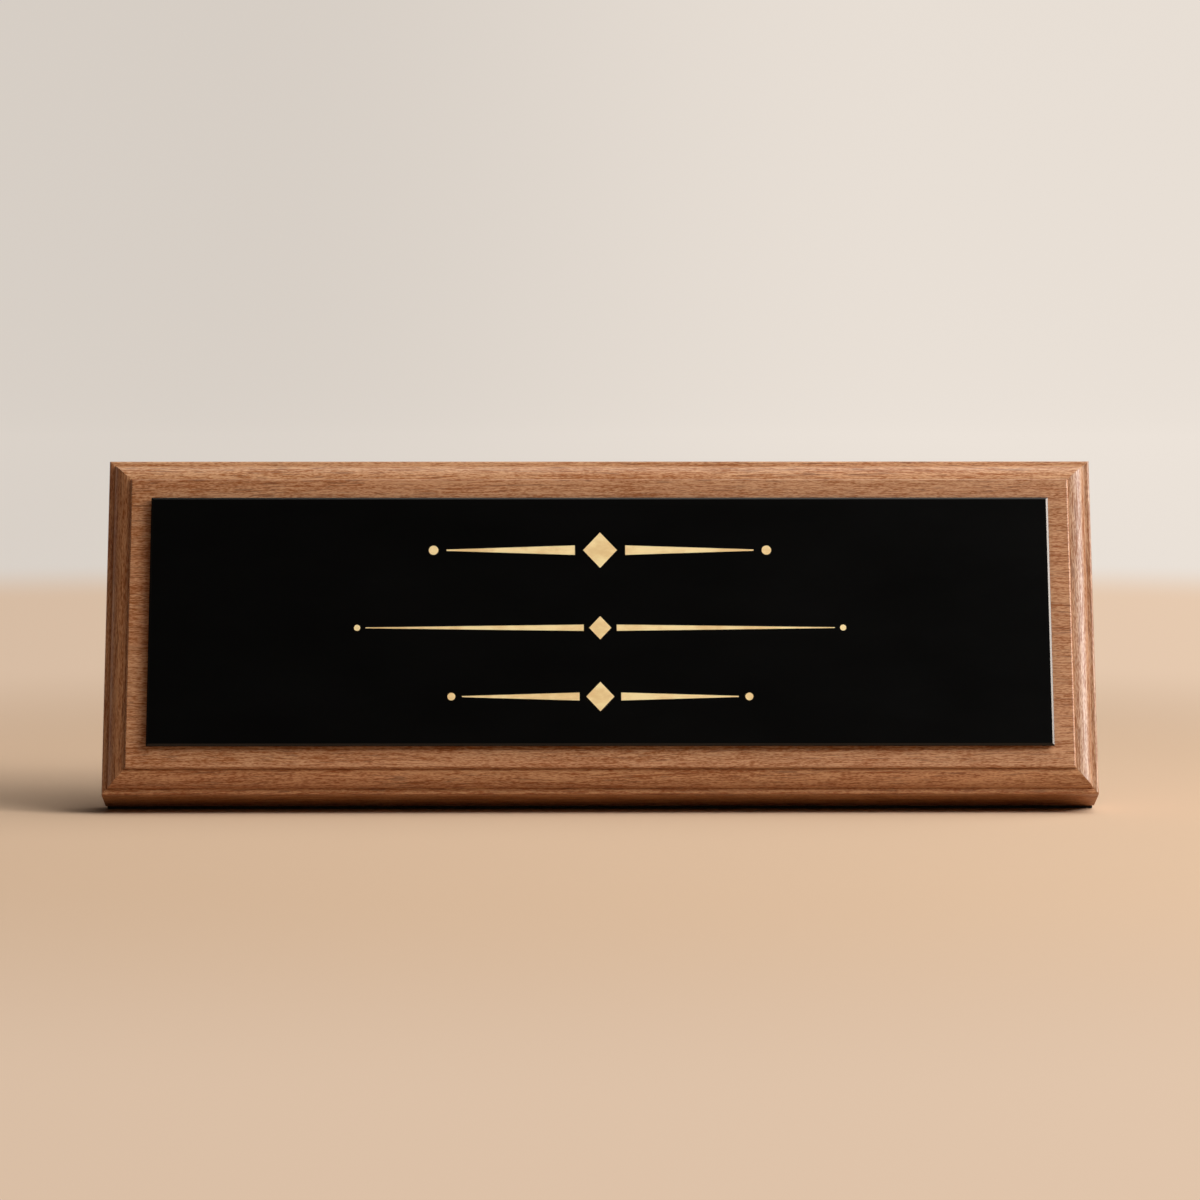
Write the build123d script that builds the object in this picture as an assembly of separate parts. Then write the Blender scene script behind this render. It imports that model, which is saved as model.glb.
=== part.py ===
from build123d import *

import os
from math import atan2, cos, degrees, radians, sin

# Desk name plate. A walnut panel is edged by four mitred, moulded lippings, leans back on a wedge
# glued and screwed behind it, and carries a bevelled metal plate on two strips of foam tape.
# Millimetres, +Z up, the front faces -Y, and the origin is on the desk in the middle of the footprint.
# On the board itself, x runs across, y runs up the sloping face from its lower edge, and z stands
# out of the panel's face, so that depths behind that face are negative.

# The leaning board
overall_width = 254.0
overall_height = 88.9
overall_depth = 64.0
board_thickness = 22.0
lean_angle = 20.0

# Lipping section, from the panel outwards: a step down, an ovolo of two arcs, a ledge and a square edge
lipping_width = 5.95
step_depth = 0.9
ovolo_depth = 2.8
ovolo_nose_radius = 1.5
ledge_width = 1.5
ledge_round = 0.55
back_round = 3.0

# Panel
field_round = 0.5

# Loose tongues, hidden in the glue joint between the panel and each lipping
tongue_thickness = 3.0
tongue_width = 6.0
tongue_setback = 10.0
tongue_clearance = 0.1

# Metal plate and its foam tape
plate_margin = 5.5
plate_thickness = 1.0
plate_square_edge = 0.7
plate_bevel_width = 0.55
tape_thickness = 0.6
tape_width = 12.0
tape_inset = 3.0

# Foot planed level on the lower lipping, and the felt under foot and wedge
foot_width = 6.0
felt_thickness = 0.8
front_felt_inset = 0.4
rear_felt_inset = 3.0
rear_felt_width = 12.0

# Wedge behind the board
wedge_length = 150.0
wedge_height = 60.0
wedge_top_thickness = 8.0
wedge_heel = 6.0
wedge_round = 1.5

# Countersunk wood screws through the wedge into the panel
screw_spacing = 90.0
screw_below_top = 16.0
screw_diameter = 3.5
screw_tip_length = 5.0
screw_tip_diameter = 0.8
screw_head_diameter = 7.0
screw_head_depth = 2.0
screw_grip = 12.0
screw_tip_cover = 6.0
screw_clearance = 0.1
counterbore_clearance = 0.8

# Cutting tools reach this far past the faces that they cut
overrun = 2.0

# Sizes that follow from the ones above
lean = radians(lean_angle)
ledge_depth = step_depth + ovolo_depth
field_width = overall_width - 2 * lipping_width
field_height = overall_height - 2 * lipping_width
plate_width = field_width - 2 * plate_margin
plate_height = field_height - 2 * plate_margin
plate_front = tape_thickness + plate_thickness
plate_bevel_drop = plate_thickness - plate_square_edge
tongue_depth = (ledge_depth + board_thickness) / 2
screw_length = screw_grip + board_thickness - screw_tip_cover

# The foremost point of the board is the panel's lower arris, or the plate's if that stands further out
arris_front = (lipping_width + field_round) * sin(lean) + field_round * cos(lean) - field_round
plate_arris_height = lipping_width + plate_margin + plate_bevel_width
plate_arris_front = plate_arris_height * sin(lean) - plate_front * cos(lean)
board_y = -overall_depth / 2 - min(arris_front, plate_arris_front)
board_z = felt_thickness + board_thickness * sin(lean) - foot_width * sin(lean) * cos(lean)
board = Plane((0, board_y, board_z), x_dir=(1, 0, 0), z_dir=(0, -cos(lean), sin(lean))).location


def side_section(up, behind):
    """Where a point of the board lies in the upright section through the object, as (y, z)."""
    return (
        board_y + up * sin(lean) + behind * cos(lean),
        board_z + up * cos(lean) - behind * sin(lean),
    )


def ovolo():
    """The ovolo's section: a wide arc that leaves the panel level, then a tight one down to the ledge."""
    run = lipping_width - ledge_width
    nose = ovolo_nose_radius
    crown = (run**2 - 2 * run * nose + ovolo_depth**2) / (2 * (ovolo_depth - nose))
    crown_centre = (lipping_width, -step_depth - crown)
    nose_centre = (ledge_width + nose, -ledge_depth)
    sweep = degrees(atan2(run - nose, crown - ovolo_depth))
    return [
        CenterArc(crown_centre, crown, 90, sweep),
        CenterArc(nose_centre, nose, 90 + sweep, 90 - sweep),
    ]


def lipping_section():
    """Section of a lipping: its outer edge at 0, its inner edge against the panel, its depth downwards."""
    back = -board_thickness
    outline = [
        CenterArc((back_round, back + back_round), back_round, 180, 90),
        Line((back_round, back), (lipping_width, back)),
        Line((lipping_width, back), (lipping_width, -step_depth)),
        *ovolo(),
        Line((ledge_width, -ledge_depth), (ledge_round, -ledge_depth)),
        CenterArc((ledge_round, -ledge_depth - ledge_round), ledge_round, 90, 90),
        Line((0, -ledge_depth - ledge_round), (0, back + back_round)),
    ]
    return make_face(outline)


def mitred_lipping(length):
    """One lipping lying along x, outer edge at y 0, mitred at both ends and slotted for its tongue."""
    half = length / 2
    strip = extrude(Plane.YZ * lipping_section(), half, both=True)
    mitres = Polygon(
        (-half, 0),
        (half, 0),
        (half - lipping_width, lipping_width),
        (lipping_width - half, lipping_width),
        align=None,
    )
    return (strip & extrude(mitres, -board_thickness)) - tongue(length, tongue_clearance)


def tongue(length, gap=0):
    """The loose tongue on the inner edge of a lipping of this length, or its slot if there is a gap."""
    size = (length - 2 * lipping_width - 2 * tongue_setback, tongue_width, tongue_thickness)
    return Pos(0, lipping_width, -tongue_depth) * Box(*(side + 2 * gap for side in size))


def board_sides():
    """Length of each side of the board, and where a lipping lying along x goes on it."""
    middle = overall_height / 2
    return {
        "bottom": (overall_width, Location()),
        "top": (overall_width, Pos(0, overall_height) * Rot(0, 0, 180)),
        "left": (overall_height, Pos(-overall_width / 2, middle) * Rot(0, 0, -90)),
        "right": (overall_height, Pos(overall_width / 2, middle) * Rot(0, 0, 90)),
    }


def field_panel():
    """The panel, its face at z 0 with an eased arris, slotted for the tongues and drilled for the screws."""
    panel = Pos(0, overall_height / 2) * Box(
        field_width, field_height, board_thickness, align=(Align.CENTER, Align.CENTER, Align.MAX)
    )
    panel = fillet(panel.faces().sort_by(Axis.Z)[-1].edges(), field_round)
    for length, place in board_sides().values():
        panel -= place * tongue(length, tongue_clearance)
    return panel - screws(screw_clearance)


def name_plate():
    """The metal plate, bevelled along the four edges of its front."""
    plate = Pos(0, overall_height / 2, tape_thickness) * Box(
        plate_width, plate_height, plate_thickness, align=(Align.CENTER, Align.CENTER, Align.MIN)
    )
    front = plate.faces().sort_by(Axis.Z)[-1]
    return chamfer(front.edges(), plate_bevel_width, plate_bevel_drop, reference=front)


def tape(side):
    """A strip of foam tape under the plate's upper edge, where side is 1, or lower edge, where it is -1."""
    from_middle = plate_height / 2 - tape_inset - tape_width / 2
    return Pos(0, overall_height / 2 + side * from_middle) * Box(
        plate_width - 2 * tape_inset,
        tape_width,
        tape_thickness,
        align=(Align.CENTER, Align.CENTER, Align.MIN),
    )


def screw(gap=0):
    """A countersunk wood screw pointing up z with its head's flat at 0, or its hole if there is a gap."""
    head = screw_head_diameter / 2 + gap
    shank = screw_diameter / 2 + gap
    tip = screw_tip_diameter / 2 + gap
    end = screw_length + gap
    outline = Polyline(
        (0, 0),
        (head, 0),
        (shank, screw_head_depth),
        (shank, end - screw_tip_length),
        (tip, end),
        (0, end),
        close=True,
    )
    return revolve(Plane.XZ * make_face(outline), Axis.Z)


def screw_places():
    """Where the screws' heads sit on the board, behind the panel."""
    up = wedge_height - screw_below_top
    behind = board_thickness + screw_grip
    return [Pos(side * screw_spacing / 2, up, -behind) for side in (-1, 1)]


def screws(gap=0):
    """Both screws in place on the board, or their holes if there is a gap."""
    return Compound([place * screw(gap) for place in screw_places()])


def rear_wedge():
    """The wedge behind the board, standing in the object's own frame, drilled and counterbored."""
    toe = side_section(foot_width * sin(lean), board_thickness)
    peak = side_section(wedge_height, board_thickness)
    shoulder = side_section(wedge_height, board_thickness + wedge_top_thickness)
    rear = overall_depth / 2
    heel_top = (rear, felt_thickness + wedge_heel)
    heel = (rear, felt_thickness)
    section = make_face(Polyline(toe, peak, shoulder, heel_top, heel, close=True))
    wedge = extrude(Plane.YZ * section, wedge_length / 2, both=True)
    glued_edges = wedge.faces().sort_by(Axis.Y)[0].edges()
    standing_edges = wedge.faces().sort_by(Axis.Z)[0].edges()
    wedge = fillet(wedge.edges() - glued_edges - standing_edges, wedge_round)
    wedge -= board * screws(screw_clearance)
    for place in screw_places():
        wedge -= board * place * Cylinder(
            screw_head_diameter / 2 + counterbore_clearance,
            overall_depth,
            align=(Align.CENTER, Align.CENTER, Align.MAX),
        )
    return wedge


def foot_plane_cut():
    """Everything lower than the felt's top, to plane the foot level on the lower edge of the board."""
    return Pos(0, 0, felt_thickness) * Box(
        overall_width + 2 * overrun,
        overall_depth + 2 * overrun,
        board_thickness,
        align=(Align.CENTER, Align.CENTER, Align.MAX),
    )


def felt_strip(length, width, front):
    """A felt strip on the desk, its near edge at y front."""
    return Pos(0, front) * Box(
        length, width, felt_thickness, align=(Align.CENTER, Align.MIN, Align.MIN)
    )


def front_felt():
    """Felt under the planed foot of the lower lipping."""
    foot_front = side_section(0, (board_z - felt_thickness) / sin(lean))[0]
    length = overall_width - 2 * front_felt_inset
    return felt_strip(length, foot_width - 2 * front_felt_inset, foot_front + front_felt_inset)


def rear_felt():
    """Felt under the heel of the wedge."""
    front = overall_depth / 2 - rear_felt_inset - rear_felt_width
    return felt_strip(wedge_length - 2 * rear_felt_inset, rear_felt_width, front)


def name_plate_pieces():
    """Every piece in place, by node name."""
    pieces = {
        "field_panel": board * field_panel(),
        "name_plate": board * name_plate(),
        "tape_upper": board * tape(1),
        "tape_lower": board * tape(-1),
        "rear_wedge": rear_wedge(),
        "wedge_screws": board * screws(),
        "felt_front": front_felt(),
        "felt_rear": rear_felt(),
    }
    for side, (length, place) in board_sides().items():
        pieces[f"lipping_{side}"] = board * place * mitred_lipping(length) - foot_plane_cut()
        pieces[f"tongue_{side}"] = board * place * tongue(length)
    return pieces


os.makedirs("parts", exist_ok=True)
for node, piece in name_plate_pieces().items():
    export_step(piece, f"parts/{node}.step")
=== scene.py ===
from math import cos, pi, radians, sin

import bmesh
import bpy
from mathutils import Matrix, Vector


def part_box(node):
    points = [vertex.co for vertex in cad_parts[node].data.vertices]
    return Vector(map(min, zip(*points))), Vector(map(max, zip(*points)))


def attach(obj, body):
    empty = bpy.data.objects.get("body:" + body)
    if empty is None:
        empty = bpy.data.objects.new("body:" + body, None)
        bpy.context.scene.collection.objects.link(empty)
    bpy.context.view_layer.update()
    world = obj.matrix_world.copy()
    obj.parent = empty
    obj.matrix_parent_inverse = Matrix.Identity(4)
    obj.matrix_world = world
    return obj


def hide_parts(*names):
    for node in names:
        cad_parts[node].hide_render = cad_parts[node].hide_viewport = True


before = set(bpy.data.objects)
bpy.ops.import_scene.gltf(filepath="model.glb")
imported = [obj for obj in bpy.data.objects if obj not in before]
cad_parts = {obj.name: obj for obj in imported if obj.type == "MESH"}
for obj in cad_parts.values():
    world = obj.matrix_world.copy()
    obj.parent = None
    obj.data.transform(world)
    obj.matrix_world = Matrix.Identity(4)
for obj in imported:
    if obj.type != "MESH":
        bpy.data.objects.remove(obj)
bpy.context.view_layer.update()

# Desk name plate: a walnut panel with four mitred, moulded lippings leans back on a screwed wedge and
# carries a black metal plate with bevelled edges. Metres, +Z up, the front faces -Y.
# On the board, x runs across, y up the sloping face and z out of the panel's face.

bl_info = {
    "name": "Desk name plate",
    "version": (1, 0, 0),
    "blender": (4, 5, 0),
    "location": "3D View > Sidebar > Name plate",
    "description": "Builds a walnut desk name plate round its CAD frame",
    "category": "Object",
}

nearness = 2e-6
millimetre = 0.001
black = (0.0, 0.0, 0.0, 1.0)

# Segments of the rounded edges
ovolo_segments = 22
back_round_segments = 9
wedge_round_segments = 6
small_round_segments = 5
soft_round_segments = 3
arris_segments = 2

# Sides of the round shapes, and steps of the cove round the floor
bore_sides = 64
screw_sides = 48
bead_sides = 24
floor_sides = 96
cove_steps = 14

# Edges are eased from one angle on and shaded smooth up to another
sharp_from = radians(30)
smooth_to = radians(40)
plate_sharp_from = radians(20)
felt_smooth_to = radians(60)
flat_face_weight = 80

# Parts of a gilt rule, as shares of its lozenge's height, and a bar's tip as a share of its thickness
lozenge_width_share = 0.92
bead_share = 0.13
gap_share = 0.22
bar_share = 0.27
bar_tip_share = 0.14

# Thread of a screw: how much of the screw it takes, its root, how much of it is full, and its tip
thread_turns = 11
thread_share = 0.65
thread_root_share = 0.72
thread_full_share = 0.6
thread_tip_share = 0.25
screw_slot_turns = (0.5, 2.2)

# How far edges are rounded and eased, as shares of the thickness of the foam tape and of the gilding
tape_round_share = 1 / 3
tape_arris_share = 1 / 5
gilt_arris_share = 1 / 3

# Walnut. Where each board was cut, and how the growth rings lie, in millimetres
board_cuts = {
    "panel": (310, 0, 0),
    "bottom": (0, 17, 5),
    "top": (700, -9, 22),
    "left": (1300, 31, -8),
    "right": (1900, 4, 13),
    "wedge": (2500, -40, 60),
}
pith = (0, 62, -46)
across_grain = (0, 1, 1)
grain_drift_blob = (120, 30, 30)
grain_drift_reach = (0, 7, 7)
ring_spacing = 2.3
ring_waver_blob = (170, 11, 11)
ring_waver_share = 1.4
late_wood_power = 2.4
late_wood_end_shares = (0.88, 1.0)
faintest_ring_share = 0.25

# Size of each feature of the grain along and twice across it, in millimetres, the detail of its noise,
# and the levels of the noise between which the feature appears
grain_features = {
    "band": ((60, 1.7, 1.7), 3, 0.30, 0.70),
    "streak": ((24, 0.6, 0.6), 3),
    "fibre": ((7, 0.30, 0.30), 2),
    "fleck": ((1.2, 0.22, 0.22), 1, 0.30, 0.70),
    "hair": ((16, 0.45, 0.45), 1),
    "hair_patch": ((9, 0.9, 0.9), 1, 0.38, 0.58),
    "line": ((38, 1.2, 1.2), 2),
    "line_patch": ((24, 3, 3), 2, 0.36, 0.60),
    "pore": ((6, 0.32, 0.32), 0, 0.62, 0.68),
    "pore_patch": ((30, 3, 3), 2, 0.34, 0.58),
    "cloud": ((58, 17, 17), 2),
    "red": ((74, 9, 9), 2, 0.40, 0.66),
}
hair_breadth = 0.0016
line_breadth = 0.0025

# How much each feature darkens the wood, and how the sum turns into its tone
grain_weights = {
    "late": 0.20,
    "band": 0.16,
    "streak": 0.8,
    "line": 0.22,
    "hair": 0.44,
    "fibre": 1.2,
    "fleck": 0.62,
    "cloud": 0.5,
}
grain_base = 0.13
grain_contrast = 1.55
grain_lift = 0.075
pore_share = 0.55

# How far behind the panel's face the polish starts and is full, in millimetres
polish_from = -7.5
polish_full = -4.5

# Floor: radii in metres up to which only the lamps light it, from which it is even, and of the backdrop,
# the shade at the left, the light that it throws back, and where its cove starts
lit_floor = 0.19
even_floor = 0.46
backdrop_from = 0.77
backdrop_full = 1.01
shade_reach = 0.33
shade_share = 0.16
bounce_share = 0.95
cove_from_share = 1.02


def number(name, description, default, **settings):
    """A number that a user may change."""
    return bpy.props.FloatProperty(name=name, description=description, default=default, **settings)


def size(name, description, default):
    """A length that a user may change."""
    return number(name, description, default, subtype="DISTANCE", unit="LENGTH", precision=5)


def angle(name, description, default):
    """An angle that a user may change, here in degrees."""
    return number(name, description, radians(default), subtype="ANGLE", unit="ROTATION")


def colour(name, description, default):
    """A linear colour that a user may change."""
    return bpy.props.FloatVectorProperty(
        name=name, description=description, default=(*default, 1.0), subtype="COLOR", size=4, min=0, max=1
    )


def place(name, description, default):
    """A point, a direction or three sizes that a user may change."""
    return bpy.props.FloatVectorProperty(
        name=name, description=description, default=default, subtype="XYZ", precision=5
    )


class BoardSizes(bpy.types.PropertyGroup):
    """Sizes of the leaning board and of its moulded edge."""

    lean: angle("Lean", "How far the board leans back", 20)
    height: size("Height", "Up the sloping face, over the lippings", 0.0889)
    thickness: size("Thickness", "Of the panel and of the lippings", 0.022)
    step: size("Step", "From the panel's face down to the ovolo", 0.0009)
    ovolo: size("Ovolo depth", "From its top down to the ledge", 0.0028)
    ledge: size("Ledge width", "Of the flat outside the ovolo", 0.0015)
    ledge_round: size("Ledge round", "On the outer front arris", 0.00055)
    back_round: size("Back round", "On the outer back arris", 0.003)
    field_round: size("Panel round", "On the panel's front arris", 0.0005)
    arris: size("Arris", "How far sharp edges are eased", 0.00009)
    grain_dip: angle("Grain dip", "Of the panel's grain into the board", 1.6)
    grain_slant: angle("Grain slant", "Of the panel's grain up the board", 0.5)


class FeltSizes(bpy.types.PropertyGroup):
    """Sizes of the felt strips."""

    edge_round: size("Round", "On the cut edges", 0.00022)
    stitch: size("Mesh spacing", "Between rows of points", 0.0012)
    fuzz: size("Fuzz", "How far the cut sides wander", 0.00012)


class PlateSizes(bpy.types.PropertyGroup):
    """Sizes of the metal plate and of the gilt rules on it."""

    thickness: size("Thickness", "Of the plate", 0.001)
    bevel: size("Bevel width", "On the four front edges", 0.00055)
    bevel_drop: size("Bevel drop", "From the face down", 0.0003)
    arris: size("Arris", "How far the bevel's edges are eased", 0.00004)
    tape: size("Tape thickness", "Of the foam tape behind the plate", 0.0006)
    gilt: size("Gilt thickness", "Of the rules on the plate", 0.00004)
    upper_rule: place("Upper rule", "Rise up the board, width and lozenge", (0.0632, 0.088, 0.0095))
    middle_rule: place("Middle rule", "Rise up the board, width and lozenge", (0.0425, 0.126, 0.0062))
    lower_rule: place("Lower rule", "Rise up the board, width and lozenge", (0.0243, 0.078, 0.0078))


class WedgeSizes(bpy.types.PropertyGroup):
    """Sizes of the wedge and of its screws."""

    height: size("Height", "Up the back of the board", 0.06)
    top: size("Top", "Thickness of the wedge at its top", 0.008)
    heel: size("Heel", "Upright edge at the rear", 0.006)
    edge_round: size("Round", "On the free edges", 0.0015)
    grain_dip: angle("Grain dip", "Of the wedge's grain into the board", 2.4)
    screw_spacing: size("Screw spacing", "Between the two screws", 0.09)
    screw_below: size("Screws below top", "From the wedge's top to the screws", 0.016)
    grip: size("Screw grip", "Wood under a screw's head", 0.012)
    head: size("Screw head", "Diameter of a screw's head", 0.007)
    head_depth: size("Screw head depth", "Of the countersunk cone", 0.002)
    shank: size("Screw shank", "Diameter of a screw's shank", 0.0035)
    cover: size("Screw tip cover", "Wood left in front of a screw's tip", 0.006)
    slot: size("Screw slot", "Width of the driver slot", 0.001)
    bore_gap: size("Counterbore gap", "Round a screw's head", 0.0008)


class FinishColours(bpy.types.PropertyGroup):
    """Colours of the finishes."""

    walnut_pale: colour("Walnut, pale", "Early wood", (0.556, 0.298, 0.145))
    walnut_deep: colour("Walnut, deep", "Late wood and dark streaks", (0.270, 0.078, 0.0065))
    walnut_pore: colour("Walnut, pores", "Open pores", (0.130, 0.040, 0.0080))
    walnut_red: colour("Walnut, red", "Tint of the redder drifts", (1.0, 0.95, 0.92))
    # The lipping tints hold painted light and shade. The left and bottom lippings are painted darker, as if
    # in shade. The top one is left untinted, so it is lighter, as if lit. The right one is painted less red
    # under its highlight. The panel and wedge tints are their boards' own tone.
    tint_panel: colour("Panel tint", "Of its own board", (0.825, 0.790, 0.775))
    tint_top: colour("Top tint", "Of its own board", (1.0, 1.0, 1.0))
    tint_bottom: colour("Bottom tint", "Of its own board", (0.810, 0.725, 0.620))
    tint_left: colour("Left tint", "Of its own board", (0.710, 0.635, 0.560))
    tint_right: colour("Right tint", "Of its own board", (0.760, 0.806, 0.898))
    tint_wedge: colour("Wedge tint", "Of its own board", (0.833, 0.796, 0.769))
    tongue: colour("Tongues", "Bare beech", (0.55, 0.38, 0.20))
    black: colour("Plate face", "Satin black coat", (0.0005, 0.00042, 0.0003))
    plate_edge: colour("Plate edge", "Glossy black of the bevel", (0.004, 0.0036, 0.0032))
    plate_glint: colour("Plate glint", "Tint of what the bevel reflects", (1.0, 0.86, 0.75))
    gilt_pale: colour("Gilt, pale", "Where the gilding is fullest", (0.93, 0.76, 0.40))
    gilt_deep: colour("Gilt, deep", "Where the gilding is thin", (0.76, 0.54, 0.25))
    foam: colour("Foam tape", "Matt closed foam", (0.62, 0.61, 0.57))
    brass: colour("Screws", "Plain brass", (0.66, 0.43, 0.15))
    felt: colour("Felt", "Pressed black wool", (0.012, 0.011, 0.010))
    floor: colour("Floor", "Plain pale floor", (0.54, 0.378, 0.254))
    floor_far: colour("Far floor", "Where the floor runs on behind", (0.778, 0.573, 0.414))
    backdrop: colour("Backdrop", "Where the floor rises behind", (0.80, 0.73, 0.66))
    sky_low: colour("Studio, low", "Light from near the horizon", (0.05, 0.048, 0.045))
    sky_high: colour("Studio, high", "Light from overhead", (0.03, 0.029, 0.028))


class StudioSizes(bpy.types.PropertyGroup):
    """Camera, lamps and floor."""

    camera: place("Camera", "Where the camera stands", (-0.00946, -1.2793, 0.1432))
    target: place("Target", "What the camera looks at", (0.0001, 0.0, 0.0525))
    lens: number("Lens", "Focal length", 147.95, subtype="DISTANCE_CAMERA", unit="CAMERA")
    key_from: place("Key direction", "Where the soft key light comes from", (0.46, 0.14, 0.88))
    key_strength: number("Key strength", "Of the soft key light", 2.25)
    key_spread: angle("Key spread", "How wide the soft key light looks", 62)
    window_at: place("Window", "Middle of the softbox", (1.0, -0.43, 0.85))
    window_wide: size("Window width", "Of the softbox", 0.85)
    window_tall: size("Window height", "Of the softbox", 0.75)
    window_power: number("Window power", "Of the softbox", 3.65, unit="POWER")
    window_spread: angle("Window spread", "How widely both lamps fan out", 90)
    glint_at: place("Glint", "Middle of the small lamp", (1.16, -0.42, 0.60))
    glint_wide: size("Glint width", "Of the small lamp", 0.32)
    glint_power: number("Glint power", "Of the small lamp", 2.6, unit="POWER")
    sky_low_to: number("Low studio light", "Up to this rise, as a sine", 0.1)
    sky_high_from: number("High studio light", "From this rise on, as a sine", 0.5)
    floor_radius: size("Floor radius", "Of the flat floor", 2.6)
    floor_rise: size("Floor rise", "Of the cove round the floor", 0.9)


class Value:
    """What a shader node gives out. Sums on it add Math nodes."""

    def __init__(self, finish, socket):
        self.finish = finish
        self.socket = socket

    def math(self, operation, *others):
        return self.finish.node("Math", {"operation": operation}, dict(enumerate((self, *others))))

    def __add__(self, other):
        return self.math("ADD", other)

    def __sub__(self, other):
        return self.math("SUBTRACT", other)

    def __rsub__(self, other):
        return self.finish.node("Math", {"operation": "SUBTRACT"}, {0: other, 1: self})

    def __mul__(self, other):
        return self.math("MULTIPLY", other)

    def __truediv__(self, other):
        return self.math("DIVIDE", other)

    def __pow__(self, other):
        return self.math("POWER", other)

    __radd__ = __add__
    __rmul__ = __mul__


class Finish:
    """The node tree of one material, or of the world."""

    # Sockets of a Mix node that mixes colours, which share their names with its other sockets
    mix_factor, mix_first, mix_second, mix_result = 0, 6, 7, 2

    def __init__(self, owner):
        owner.use_nodes = True
        self.owner = owner
        self.tree = owner.node_tree
        self.tree.nodes.clear()

    def node(self, kind, settings, sockets, output=0):
        """Adds a node with its settings, then the values or links of its sockets, and gives an output."""
        made = self.tree.nodes.new("ShaderNode" + kind)
        for name, value in settings.items():
            setattr(made, name, value)
        for name, value in sockets.items():
            if isinstance(value, Value):
                self.tree.links.new(value.socket, made.inputs[name])
            else:
                made.inputs[name].default_value = value
        return Value(self, made.outputs[output]) if made.outputs else None

    def vector(self, operation, *terms, output="Vector"):
        """Vector maths."""
        return self.node("VectorMath", {"operation": operation}, dict(enumerate(terms)), output)

    def along(self, where, axis):
        """One coordinate of a point."""
        return self.node("SeparateXYZ", {}, {"Vector": where}, axis)

    def mix(self, factor, first, second, blend="MIX"):
        """One colour turning into another."""
        settings = {"data_type": "RGBA", "blend_type": blend, "clamp_factor": True}
        sockets = {self.mix_factor: factor, self.mix_first: first, self.mix_second: second}
        return self.node("Mix", settings, sockets, self.mix_result)

    def ease(self, value, start, end):
        """0 before the start and 1 after the end, with a soft slope between."""
        limits = {"Value": value, "From Min": start, "From Max": end}
        return self.node("MapRange", {"interpolation_type": "SMOOTHSTEP"}, limits)

    def noise(self, where, blob, detail=2.0, output=0):
        """Smooth noise whose blobs have this size along each axis."""
        cells = self.vector("DIVIDE", where, blob)
        sockets = {"Vector": cells, "Scale": 1.0, "Detail": detail, "Roughness": 0.55}
        return self.node("TexNoise", {"noise_dimensions": "3D"}, sockets, output)

    def sway(self, where, blob):
        """Smooth noise with three parts from about -0.5 to 0.5, to move points by."""
        return self.vector("SUBTRACT", self.noise(where, blob, output="Color"), (0.5, 0.5, 0.5))

    def millimetres(self, lie):
        """Millimetres along the axes of a matrix."""
        sockets = {
            "Vector": self.node("TexCoord", {}, {}, "Object"),
            "Location": lie.to_translation(),
            "Rotation": lie.to_euler(),
            "Scale": (millimetre, millimetre, millimetre),
        }
        return self.node("Mapping", {"vector_type": "TEXTURE"}, sockets)

    def bump(self, height, distance, strength):
        """A normal bent by a height from 0 to 1 that stands for this distance."""
        return self.node("Bump", {}, {"Height": height, "Distance": distance, "Strength": strength})

    def surface(self, **sockets):
        """Adds the shader, whose sockets are named in lower case, and gives the material."""
        titles = [name.replace("_", " ").title().replace("Ior", "IOR") for name in sockets]
        shader = self.node("BsdfPrincipled", {}, dict(zip(titles, sockets.values())))
        self.node("OutputMaterial", {}, {"Surface": shader})
        return self.owner


def new_finish(name):
    """The empty tree of a new material."""
    return Finish(bpy.data.materials.new(name))


def scaled(base, factor):
    """A colour made brighter or darker."""
    return (*(factor * part for part in base[:3]), 1.0)


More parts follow.
